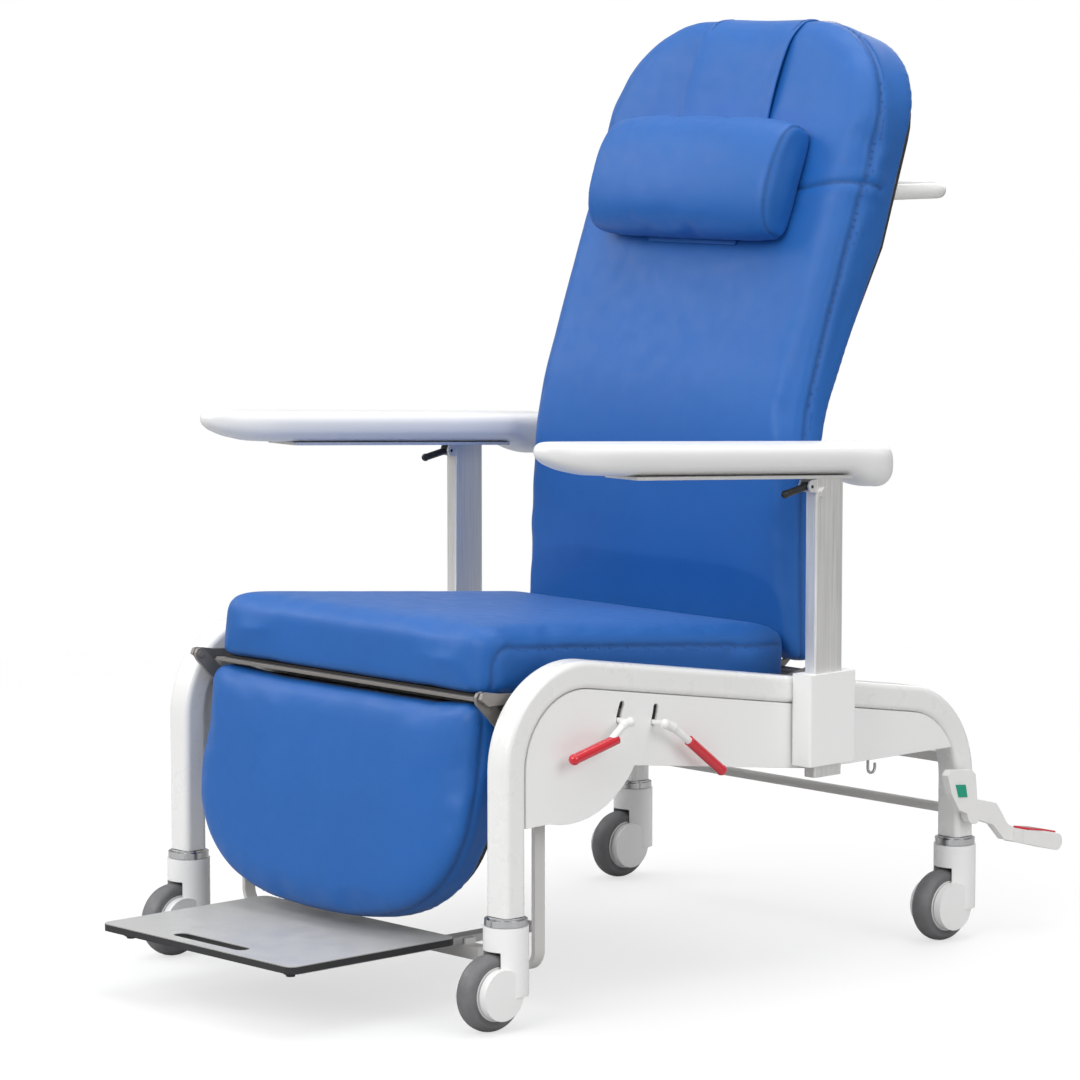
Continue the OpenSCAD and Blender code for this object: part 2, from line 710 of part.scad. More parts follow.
module armrest_lever(side) {
    p = arm_lever_pin;
    color(black) mirrored(side) {
        x_rod(p, 5.5, post_x - 6.7, post_x + 6.7);
        rod([post_x, p[0] - 3, p[1] - 0.5], [post_x, p[0] - 42, p[1] - 8], 5);
        translate([post_x, p[0] - 42, p[1] - 8]) sphere(r = 5.6);
        x_rod(p, 2.4, post_x - 9.9, post_x + 9.9);
    }
}

// ---- release levers ----

// Inner arm from the pivot to the slot by way of arm, a pin out through the cover, and the outer neck.
module release_lever(pivot, slot, arm, bend, neck, x0, x1) {
    line = concat([pivot], arm, [slot]);
    color(white) {
        difference() {
            union() {
                for (i = [0:len(line) - 2]) {
                    d = (line[i + 1] - line[i]) / norm(line[i + 1] - line[i]);
                    n = [-d[1], d[0]] * 5;
                    side_extrude(x0, x1) polygon([line[i] - n, line[i + 1] - n, line[i + 1] + n, line[i] + n]);
                }
                for (p = concat(arm, [slot])) x_rod(p, 6, x0, x1);
                x_rod(pivot, 8, x0, x1);
            }
            x_rod(pivot, 4 + run, x0 - 1, x1 + 1);
        }
        x_rod(slot, 3.6, x1 - 1, lever_x + 2);
        rod([lever_x, slot[0], slot[1]], [lever_x, bend[0], bend[1]], 6);
        translate([lever_x, slot[0], slot[1]]) sphere(r = 6.5);
        translate([lever_x, bend[0], bend[1]]) sphere(r = 6.5);
        rod([lever_x, bend[0], bend[1]], [lever_x, neck[0], neck[1]], 5);
    }
}

// Sleeve over the end of the neck, from 14 mm before it to a round tip at end.
module release_grip(bend, neck, end) {
    d = (end - neck) / norm(end - neck);
    root = neck - d * 14;
    fit = (neck - bend) / norm(neck - bend) * 0.05;
    color(red) difference() {
        union() {
            rod([lever_x, root[0], root[1]], [lever_x, end[0], end[1]], 7);
            translate([lever_x, end[0], end[1]]) sphere(r = 7.6);
        }
        rod([lever_x, bend[0], bend[1]], [lever_x, neck[0] + fit[0], neck[1] + fit[1]], 5 + run);
    }
}

// Legrest lever, whose grip points forward, and back lever, whose grip points to the rear.
legrest_lever_bend = [-216, 379];
legrest_grip = [[-243, 358], [-304, 343]];
back_lever_bend = [-128, 366];
back_grip = [[-87, 337], [-38, 300]];

// The legrest lever's arm dips under the back lever's pin.
module legrest_release_lever() {
    release_lever(legrest_lever_pivot, legrest_lever_slot, [[-130, 350], [-172, 349]], legrest_lever_bend,
        legrest_grip[0], 329, 334);
}

module legrest_release_grip() {
    release_grip(legrest_lever_bend, legrest_grip[0], legrest_grip[1]);
}

module back_release_lever() {
    release_lever(back_lever_pivot, back_lever_slot, [], back_lever_bend, back_grip[0], 322, 327);
}

module back_release_grip() {
    release_grip(back_lever_bend, back_grip[0], back_grip[1]);
}

// ---- brake ----

pedal_x = [350, 362];
foot_pad_x = [344, 380];
module brake_shaft() {
    color(white) x_rod(brake_pivot, brake_shaft_r, -leg_x - tube_w / 2 - 2, pedal_x[0]);
}

module brake_pedal() {
    color(white) {
        side_extrude(pedal_x[0], pedal_x[1]) polygon(concat(
            [[412, 240], [419, 247], [462, 243], [470, 236], [474, 200]],
            [[492, 196], [514, 190], [524, 178], [538, 158], [556, 149], [556, 130], [532, 136], [508, 160]],
            arc(brake_pivot, 16, -50, -180, 6), [[436, 190], [420, 214]]));
        side_extrude(foot_pad_x[0], foot_pad_x[1]) polygon(concat([[552, 149.5], [600, 142]],
            arc([624, 124], 12, 66, -110, 8), [[560, 128.5], [552, 130]]));
    }
}

module brake_lock_pad() {
    color(red) side_extrude(foot_pad_x[0] + 4, foot_pad_x[1] - 4)
        polygon([[566, 147.6], [600, 142.2], [626, 136.3], [626, 138.8], [600, 145], [568, 150]]);
}

module brake_free_mark() {
    color([0.0, 0.6, 0.48]) side_extrude(pedal_x[1], pedal_x[1] + 1.2)
        polygon([[428, 226], [448, 224], [452, 206], [434, 208]]);
}

// ---- castors ----

module caster_fork(side, y) {
    w = [leg_x, y - caster_trail, wheel_d / 2];
    color(white) mirrored(side) {
        difference() {
            union() {
                translate([leg_x, y, 44]) cylinder(r = fork_w / 2 + 1.5, h = fork_top - 44);
                x_rod([w[1], w[2]], disc_r, leg_x - fork_w / 2, leg_x + fork_w / 2);
            }
            // space for the wheel
            x_rod([w[1], w[2]], wheel_d / 2 + 3, leg_x - wheel_w / 2 - 1.5, leg_x + wheel_w / 2 + 1.5);
            // seat of the swivel stem
            translate([leg_x, y, 111]) cylinder(r = stem_r + run, h = fork_top - 110);
        }
        x_rod([w[1], w[2]], axle_r, leg_x - wheel_w / 2 - 2, leg_x + wheel_w / 2 + 2);
    }
}

module caster_tyre(side, y) {
    r = wheel_d / 2;
    crown = 9;           // how far the tread bulges past its shoulders
    color([0.5, 0.5, 0.51]) mirrored(side) translate([leg_x, y - caster_trail, r]) rotate([0, 90, 0])
        rotate_extrude($fn = 96) polygon(concat([[hub_r, -wheel_w / 2 + 1]],
            [for (a = [-90:15:90]) [r - crown + crown * cos(a), wheel_w / 2 * sin(a)]],
            [[hub_r, wheel_w / 2 - 1]]));
}

module caster_hub(side, y) {
    r = wheel_d / 2;
    color(white) mirrored(side) translate([leg_x, y - caster_trail, r]) rotate([0, 90, 0]) difference() {
        cylinder(r = hub_r, h = wheel_w - 2, center = true, $fn = 96);
        cylinder(r = axle_r + run, h = wheel_w, center = true);
    }
}

side_frame(1);  // side_frame_left
side_frame(-1);  // side_frame_right
front_cover(1);  // front_cover_left
front_cover(-1);  // front_cover_right
rear_cover(1);  // rear_cover_left
rear_cover(-1);  // rear_cover_right
post_socket(1);  // post_socket_left
post_socket(-1);  // post_socket_right
cross_tubes();
lever_bracket();
seat_frame();
seat_board();
seat_cushion();
leg_collars();
accessory_hook();
footrest_frame();
backrest_frame();
backrest_board();
backrest_cushion();
push_handle();
pillow_strap();
headrest_pillow();
back_strut_cylinder();
back_strut_rod();
legrest_frame();
legrest_board();
legrest_cushion();
footplate_core();
footplate_laminate();
footplate_runners();
footplate_feet();
armrest_post(1);  // armrest_post_left
armrest_plate(1);  // armrest_plate_left
armrest_pad(1);  // armrest_pad_left
armrest_lever(1);  // armrest_lever_left
armrest_post(-1);  // armrest_post_right
armrest_plate(-1);  // armrest_plate_right
armrest_pad(-1);  // armrest_pad_right
armrest_lever(-1);  // armrest_lever_right
legrest_release_lever();
legrest_release_grip();
back_release_lever();
back_release_grip();
brake_shaft();
brake_pedal();
brake_lock_pad();
brake_free_mark();
caster_fork(1, front_leg_y);  // caster_fork_front_left
caster_tyre(1, front_leg_y);  // caster_tyre_front_left
caster_hub(1, front_leg_y);  // caster_hub_front_left
caster_fork(-1, front_leg_y);  // caster_fork_front_right
caster_tyre(-1, front_leg_y);  // caster_tyre_front_right
caster_hub(-1, front_leg_y);  // caster_hub_front_right
caster_fork(1, rear_leg_y);  // caster_fork_rear_left
caster_tyre(1, rear_leg_y);  // caster_tyre_rear_left
caster_hub(1, rear_leg_y);  // caster_hub_rear_left
caster_fork(-1, rear_leg_y);  // caster_fork_rear_right
caster_tyre(-1, rear_leg_y);  // caster_tyre_rear_right
caster_hub(-1, rear_leg_y);  // caster_hub_rear_right
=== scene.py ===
"""Looks of the patient recliner: materials, sewn cushions, moulded arm pads, light and camera."""

import json
import math

import bpy
import numpy as np
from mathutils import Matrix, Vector
from mathutils.bvhtree import BVHTree


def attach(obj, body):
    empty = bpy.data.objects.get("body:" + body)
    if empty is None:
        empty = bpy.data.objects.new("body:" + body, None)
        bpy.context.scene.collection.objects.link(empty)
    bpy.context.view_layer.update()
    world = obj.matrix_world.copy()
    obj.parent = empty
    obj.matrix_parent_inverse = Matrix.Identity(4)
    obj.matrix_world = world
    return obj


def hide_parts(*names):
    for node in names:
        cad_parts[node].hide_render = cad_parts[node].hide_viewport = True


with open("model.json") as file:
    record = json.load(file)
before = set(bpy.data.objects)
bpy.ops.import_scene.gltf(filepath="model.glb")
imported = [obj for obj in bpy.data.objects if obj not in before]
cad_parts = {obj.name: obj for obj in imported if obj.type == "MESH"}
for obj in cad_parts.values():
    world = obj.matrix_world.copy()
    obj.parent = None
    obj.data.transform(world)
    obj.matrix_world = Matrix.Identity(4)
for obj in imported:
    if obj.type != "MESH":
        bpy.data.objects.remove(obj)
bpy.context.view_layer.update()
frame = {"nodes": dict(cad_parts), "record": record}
NODES = frame["nodes"]
SLOT_OF = {s["node"]: s["material_slot"] for s in frame["record"]["subparts"]}
MM = 0.001
SIDES = {"left": 1, "right": -1}      # the patient's left is +X


# ---- node materials ----

class Finish:
    """A Principled material with short calls for the nodes that drive it."""

    def __init__(self, name, colour, rough, **constants):
        self.mat = bpy.data.materials.new(name)
        self.mat.use_nodes = True
        self.tree = self.mat.node_tree
        self.shader = self.tree.nodes["Principled BSDF"]
        self.shader.inputs["Base Color"].default_value = (*colour, 1)
        self.shader.inputs["Roughness"].default_value = rough
        for key, value in constants.items():
            self.shader.inputs[key.replace("_", " ")].default_value = value
        self.place = self.node("ShaderNodeTexCoord").outputs["Object"]

    def node(self, kind, **values):
        n = self.tree.nodes.new(kind)
        for key, value in values.items():
            if hasattr(n, key):
                setattr(n, key, value)
            else:
                n.inputs[key.replace("_", " ")].default_value = value
        return n

    def link(self, a, b):
        self.tree.links.new(a, b)

    def stretched(self, scale):
        """Object coordinates scaled by scale, for a pattern that runs along one direction."""
        n = self.node("ShaderNodeMapping")
        n.inputs["Scale"].default_value = scale
        self.link(self.place, n.inputs["Vector"])
        return n.outputs["Vector"]

    def noise(self, scale, detail=3, rough=0.5, at=None):
        n = self.node("ShaderNodeTexNoise", Scale=scale, Detail=detail, Roughness=rough)
        self.link(at or self.place, n.inputs["Vector"])
        return n.outputs["Fac"]

    def creases(self, scale):
        """Distance to the walls of a pattern of cells."""
        n = self.node("ShaderNodeTexVoronoi", feature="DISTANCE_TO_EDGE")
        n.inputs["Scale"].default_value = scale
        self.link(self.place, n.inputs["Vector"])
        return n.outputs["Distance"]

    def ranged(self, value, low, high, from_low=0.3, from_high=0.7):
        n = self.node("ShaderNodeMapRange")
        for key, v in (("From Min", from_low), ("From Max", from_high), ("To Min", low), ("To Max", high)):
            n.inputs[key].default_value = v
        self.link(value, n.inputs["Value"])
        return n.outputs["Result"]

    def maths(self, operation, a, b):
        n = self.node("ShaderNodeMath", operation=operation)
        for socket, v in zip(n.inputs, (a, b)):
            if isinstance(v, (int, float)):
                socket.default_value = v
            else:
                self.link(v, socket)
        return n.outputs["Value"]

    def mixed(self, fac, a, b):
        """Colour a where fac is 0 and b where it is 1; a and b are colours or sockets."""
        n = self.node("ShaderNodeMix", data_type="RGBA")
        self.link(fac, n.inputs["Factor"])
        for socket, v in ((n.inputs[6], a), (n.inputs[7], b)):
            if isinstance(v, tuple):
                socket.default_value = (*v, 1)
            else:
                self.link(v, socket)
        return n.outputs[2]

    def colour(self, socket):
        self.link(socket, self.shader.inputs["Base Color"])

    def roughness(self, socket):
        self.link(socket, self.shader.inputs["Roughness"])

    def bump(self, height, distance, strength=1.0, edge=0.0):
        """Relief of that height in metres; edge rounds hard edges by that radius."""
        n = self.node("ShaderNodeBump", Strength=strength, Distance=distance)
        self.link(height, n.inputs["Height"])
        if edge:
            bevel = self.node("ShaderNodeBevel", samples=4, Radius=edge)
            self.link(bevel.outputs["Normal"], n.inputs["Normal"])
        self.link(n.outputs["Normal"], self.shader.inputs["Normal"])

    def edge_mask(self, radius):
        """1 on hard edges and 0 on flats, from how far a rounded normal turns from the true one."""
        bevel = self.node("ShaderNodeBevel", samples=4, Radius=radius)
        true = self.node("ShaderNodeNewGeometry")
        dot = self.node("ShaderNodeVectorMath", operation="DOT_PRODUCT")
        self.link(bevel.outputs["Normal"], dot.inputs[0])
        self.link(true.outputs["Normal"], dot.inputs[1])
        return self.ranged(dot.outputs["Value"], 1, 0, 0.86, 0.995)


def painted(name, colour, rough, peel, edge=0.0012, dirt=(0.62, 0.6, 0.56), **constants):
    """Paint or moulded plastic: slight colour drift, fine orange peel, soft and grimy edges."""
    f = Finish(name, colour, rough, **constants)
    drift = f.ranged(f.noise(5, 4), 0, 0.5)
    body = f.mixed(drift, colour, tuple(c * 0.985 for c in colour))
    worn = f.maths("MULTIPLY", f.edge_mask(edge * 1.6), f.ranged(f.noise(60, 5), 0, 0.3, 0.5, 0.75))
    f.colour(f.mixed(worn, body, dirt))
    f.roughness(f.ranged(f.noise(28, 5), rough - 0.03, rough + 0.05))
    fine = f.noise(peel, 2)
    coarse = f.maths("MULTIPLY", f.noise(peel / 12, 2), 0.6)
    f.bump(f.maths("ADD", fine, coarse), 0.00012, 0.35, edge)
    return f


def metal(name, colour, rough, streak, edge=0.0006, spread=0.1, **constants):
    """Bare metal, ground along one direction: streak stretches the scratches."""
    f = Finish(name, colour, rough, Metallic=1.0, **constants)
    lines = f.noise(1, 6, 0.6, f.stretched(streak))
    f.roughness(f.ranged(lines, rough - spread / 2, rough + spread))
    dull, bright = tuple(c * 0.82 for c in colour), tuple(min(c * 1.08, 1) for c in colour)
    f.colour(f.mixed(f.ranged(lines, 0, 1), dull, bright))
    f.bump(lines, 0.00006, 0.3, edge)
    return f


def vinyl(name, colour, shade, rough=0.45):
    """Coated upholstery cloth: leather grain, cloudy sheen, and painted shade darkening the seams where the
    mesh says so.
    """
    f = Finish(name, colour, rough, Coat_Weight=0.08, Coat_Roughness=0.4,
               Sheen_Weight=0.06, Sheen_Roughness=0.4)
    f.shader.inputs["Specular IOR Level"].default_value = 0.42
    seam = f.node("ShaderNodeAttribute", attribute_name="seam").outputs["Fac"]
    body = f.mixed(f.ranged(f.noise(7, 5, 0.6), 0, 0.75), colour, shade)
    speck = f.mixed(f.ranged(f.noise(900, 2), 0, 0.12), body, tuple(min(1, c * 1.5) for c in colour))
    # painted shade: the colour turns to a dark blue along the seam grooves, where shade falls
    f.colour(f.mixed(f.maths("MULTIPLY", seam, 0.55), speck, tuple(c * 0.32 for c in shade)))
    f.roughness(f.ranged(f.noise(40, 4), rough - 0.05, rough + 0.1))
    creases = f.creases(620)
    pores = f.noise(1500, 3)
    folds = f.maths("MULTIPLY", f.ranged(creases, 0, 1, 0, 0.12), 0.7)
    grain = f.maths("ADD", folds, f.maths("MULTIPLY", pores, 0.5))
    wave = f.maths("MULTIPLY", f.noise(14, 2), 6.0)
    f.bump(f.maths("ADD", grain, wave), 0.00022, 0.5)
    return f


def wood(name, light, dark, pore):
    """Dark stained board with its figure along X."""
    f = Finish(name, light, 0.55)
    long = f.noise(1, 6, 0.62, f.stretched((5, 90, 160)))
    fine = f.noise(1, 3, 0.5, f.stretched((20, 700, 700)))
    body = f.mixed(f.ranged(long, 0, 1), light, dark)
    f.colour(f.mixed(f.ranged(fine, 0, 0.35), body, pore))
    f.roughness(f.ranged(fine, 0.48, 0.64))
    f.bump(fine, 0.0001, 0.5, 0.0008)
    return f


def laminate(name):
    """Light grey laminate with a faint fleck and rub marks."""
    f = Finish(name, (0.50, 0.50, 0.50), 0.34)
    fleck = f.ranged(f.noise(420, 2), 0, 0.5, 0.52, 0.7)
    rubs = f.ranged(f.noise(1, 5, 0.7, f.stretched((30, 6, 6))), 0, 0.25, 0.5, 0.75)
    body = f.mixed(fleck, (0.47, 0.465, 0.45), (0.40, 0.395, 0.385))
    f.colour(f.mixed(rubs, body, (0.36, 0.36, 0.37)))
    f.roughness(f.ranged(f.noise(30, 5), 0.28, 0.46))
    f.bump(f.noise(1400, 2), 0.00005, 0.4, 0.0005)
    return f


def rubber(name, colour, rough):
    """Tyre or foot rubber with scuffs and a dusty film."""
    f = Finish(name, colour, rough)
    dust = f.ranged(f.noise(24, 5, 0.65), 0, 0.5, 0.42, 0.72)
    f.colour(f.mixed(dust, colour, tuple(min(1, c * 1.5 + 0.03) for c in colour)))
    f.roughness(f.ranged(f.noise(90, 4), rough - 0.08, rough + 0.12))
    f.bump(f.noise(700, 3), 0.00015, 0.5, 0.0008)
    return f


BLUE = (0.005, 0.106, 0.400)
BLUE_SHADE = (0.004, 0.094, 0.355)
PALE = (0.83, 0.83, 0.82)

FINISHES = {
    "white_tube": painted("white_tube", PALE, 0.28, 1100, dirt=(0.80, 0.80, 0.79),
                          Coat_Weight=0.25, Coat_Roughness=0.15),
    "white_cover": painted("white_cover", (0.87, 0.87, 0.865), 0.42, 2200),
    "caster_white": painted("caster_white", (0.86, 0.86, 0.855), 0.36, 1500),
    "lever_white": painted("lever_white", (0.84, 0.835, 0.825), 0.34, 1200),
    "footrest_paint": painted("footrest_paint", (0.66, 0.65, 0.63), 0.36, 1000),
    "grey_steel": painted("grey_steel", (0.25, 0.235, 0.22), 0.4, 900, dirt=(0.42, 0.4, 0.37), Metallic=0.35),
    "black_plastic": painted("black_plastic", (0.016, 0.016, 0.017), 0.38, 1600, dirt=(0.12, 0.12, 0.12)),
    "strut_black": painted("strut_black", (0.014, 0.014, 0.015), 0.2, 700, dirt=(0.1, 0.1, 0.1)),
    "laminate_core": painted("laminate_core", (0.018, 0.018, 0.02), 0.45, 1500, dirt=(0.1, 0.1, 0.1)),
    "red_grip": painted("red_grip", (0.62, 0.006, 0.022), 0.16, 500, dirt=(0.4, 0.05, 0.06),
                        Coat_Weight=0.7, Coat_Roughness=0.05),
    "green_mark": painted("green_mark", (0.0, 0.33, 0.20), 0.3, 900, dirt=(0.2, 0.5, 0.4)),
    "arm_pad": painted("arm_pad", (0.79, 0.79, 0.79), 0.34, 1700, edge=0.0005),
    "chrome": metal("chrome", (0.60, 0.60, 0.61), 0.12, (900, 900, 60), spread=0.08),
    "strut_chrome": metal("strut_chrome", (0.8, 0.8, 0.81), 0.08, (900, 60, 900), spread=0.05),
    "zinc_steel": metal("zinc_steel", (0.52, 0.52, 0.53), 0.36, (220, 160, 220), spread=0.2),
    "brushed_post": metal("brushed_post", (0.88, 0.875, 0.865), 0.5, (1500, 1500, 9), spread=0.14),
    "dark_board": wood("dark_board", (0.040, 0.034, 0.030), (0.022, 0.019, 0.017), (0.010, 0.009, 0.008)),
    "laminate_face": laminate("laminate_face"),
    "caster_tyre": rubber("caster_tyre", (0.135, 0.135, 0.14), 0.5),
    "blue_vinyl": vinyl("blue_vinyl", BLUE, BLUE_SHADE),
}
THREAD = painted("thread", (0.028, 0.09, 0.30), 0.6, 4000, edge=0.0002, dirt=(0.05, 0.14, 0.4))


def dress(obj, slot):
    """Gives an object one of the record's material slots."""
    obj.data.materials.clear()
    obj.data.materials.append(FINISHES[slot].mat)


for node_name, node_obj in NODES.items():
    dress(node_obj, SLOT_OF[node_name])


# ---- mesh helpers ----

def mesh_object(name, verts, faces, smooth=True):
    mesh = bpy.data.meshes.new(name)
    mesh.from_pydata([tuple(v) for v in verts], [], faces)
    mesh.validate()
    mesh.update()
    mesh.polygons.foreach_set("use_smooth", [smooth] * len(mesh.polygons))
    obj = bpy.data.objects.new(name, mesh)
    bpy.context.scene.collection.objects.link(obj)
    return obj


def coordinates(mesh):
    co = np.empty(len(mesh.vertices) * 3, np.float64)
    mesh.vertices.foreach_get("co", co)
    return co.reshape(-1, 3)


def set_coordinates(mesh, co):
    mesh.vertices.foreach_set("co", co.astype(np.float32).ravel())
    mesh.update()


def normals(mesh):
    n = np.empty(len(mesh.vertices) * 3, np.float32)
    mesh.vertex_normals.foreach_get("vector", n)
    return n.reshape(-1, 3).astype(np.float64)


def bake_modifiers(obj):
    """Keeps the mesh as its modifiers leave it, and takes them off."""
    depsgraph = bpy.context.evaluated_depsgraph_get()
    old = obj.data
    obj.data = bpy.data.meshes.new_from_object(obj.evaluated_get(depsgraph))
    obj.modifiers.clear()
    bpy.data.meshes.remove(old)
    obj.data.polygons.foreach_set("use_smooth", [True] * len(obj.data.polygons))


def remeshed(obj, voxel):
    mod = obj.modifiers.new("remesh", "REMESH")
    mod.mode = "VOXEL"
    mod.voxel_size = voxel
    bake_modifiers(obj)


def relaxed(obj, passes, factor=0.5):
    mod = obj.modifiers.new("smooth", "SMOOTH")
    mod.iterations = passes
    mod.factor = factor
    bake_modifiers(obj)


def subdivided(obj):
    obj.modifiers.new("subdivision", "SUBSURF").levels = 1
    bake_modifiers(obj)


TAUT = 5        # smoothing passes over a cushion's swelling: the cover is stretched tight


def puffed(obj, pressure, cap):
    """Swells the skin with cloth pressure for 20 frames; no point travels further than cap."""
    before = coordinates(obj.data)
    mod = obj.modifiers.new("cloth", "CLOTH")
    mod.settings.use_pressure = True
    mod.settings.uniform_pressure_force = pressure
    mod.settings.effector_weights.gravity = 0
    mod.settings.quality = 4
    mod.collision_settings.use_collision = False
    for step in range(1, 21):
        bpy.context.scene.frame_set(step)
    bake_modifiers(obj)
    bpy.context.scene.frame_set(1)
    move = coordinates(obj.data) - before
    far = np.linalg.norm(move, axis=1, keepdims=True)
    move *= np.minimum(1, cap / np.maximum(far, 1e-9))
    edges = np.empty(len(obj.data.edges) * 2, np.int64)
    obj.data.edges.foreach_get("vertices", edges)
    a, b = edges.reshape(-1, 2).T
    count = np.bincount(edges, minlength=len(move))[:, None]
    for _ in range(TAUT):
        near = np.stack([np.bincount(a, move[b, k], len(move)) + np.bincount(b, move[a, k], len(move))
                         for k in range(3)], axis=1)
        move = 0.4 * move + 0.6 * near / count
    set_coordinates(obj.data, before + move)


def polyline(points, step=0.003):
    """The same path with points about step apart."""
    out = [np.array(points[0], float)]
    for a, b in zip(points, points[1:]):
        a, b = np.array(a, float), np.array(b, float)
        n = max(1, int(round(np.linalg.norm(b - a) / step)))
        out += [a + (b - a) * i / n for i in range(1, n + 1)]
    return np.array(out)


def surface_tree(obj):
    return BVHTree.FromPolygons([v.co for v in obj.data.vertices], [p.vertices for p in obj.data.polygons])


def on_surface(obj, points):
    """(points moved to the nearest place on obj, outward normals there)."""
    tree = surface_tree(obj)
    places, outward = [], []
    for p in points:
        hit, normal, _, _ = tree.find_nearest(Vector(p))
        places.append(np.array(hit))
        outward.append(np.array(normal))
    return np.array(places), np.array(outward)


def distance_to(co, path):
    """Distance from each vertex to a dense path."""
    best = np.full(len(co), 1e9)
    near = np.where(((co > path.min(0) - 0.03) & (co < path.max(0) + 0.03)).all(1))[0]
    for chunk in np.array_split(near, max(1, len(near) * len(path) // 8_000_000 + 1)):
        if len(chunk):
            gaps = co[chunk, None, :] - path[None, :, :]
            best[chunk] = np.sqrt((gaps ** 2).sum(2).min(1))
    return best


def sewn(obj, paths, depth=0.0022, width=0.0042):
    """Sinks a seam along each path, lifts the cloth beside it a little, and marks it for the painted shade
    that the material lays in the groove.
    """
    co = coordinates(obj.data)
    outward = normals(obj.data)
    seam_shade = np.zeros(len(co))
    for points in paths:
        path, _ = on_surface(obj, polyline(points))
        d = distance_to(co, path)
        groove = np.exp(-((d / width) ** 2))
        swell = np.exp(-(((d - 3.2 * width) / (1.8 * width)) ** 2))
        co += outward * (swell * depth * 0.35 - groove * depth)[:, None]
        # this seam mark drives the vinyl's painted shade in the groove
        seam_shade = np.maximum(seam_shade, np.exp(-((d / (width * 0.62)) ** 2)))
    set_coordinates(obj.data, co)
    attribute = obj.data.attributes.new("seam", "FLOAT", "POINT")
    attribute.data.foreach_set("value", seam_shade.astype(np.float32))


def stitches(name, obj, paths, side, pitch=0.0052, length=0.0036, radius=0.00042):
    """Top stitching: a run of short threads beside each seam, side being the offset across it."""
    verts, faces = [], []
    for points in paths:
        path, outward = on_surface(obj, polyline(points, pitch))
        for i in range(len(path) - 1):
            along = path[i + 1] - path[i]
            if np.linalg.norm(along) < 1e-5:
                continue
            along /= np.linalg.norm(along)
            across = np.cross(outward[i], along)
            middle = (path[i] + path[i + 1]) / 2 + across * side
            start = len(verts)
            for t, r, rise in ((-0.5, 0.35, -0.3), (-0.3, 1, 0.6), (0.3, 1, 0.6), (0.5, 0.35, -0.3)):
                centre = middle + along * t * length + outward[i] * radius * rise
                for k in range(6):
                    a = math.tau * k / 6
                    verts.append(centre + radius * r * (across * math.cos(a) + outward[i] * math.sin(a)))
            for ring in range(3):
                for k in range(6):
                    a, b = start + ring * 6 + k, start + ring * 6 + (k + 1) % 6
                    faces.append((a, b, b + 6, a + 6))
            faces.append(tuple(start + k for k in reversed(range(6))))
            faces.append(tuple(start + 18 + k for k in range(6)))
    thread = mesh_object(name, verts, faces)
    thread.data.materials.append(THREAD.mat)
    thread.parent = obj
    return thread


# ---- upholstered slabs: seat, back and legrest ----

FROM_BACK = 1000      # depths from here on are measured from a slab's back
CROWN_REACH = 70      # mm over which a slab's face rises from its rim


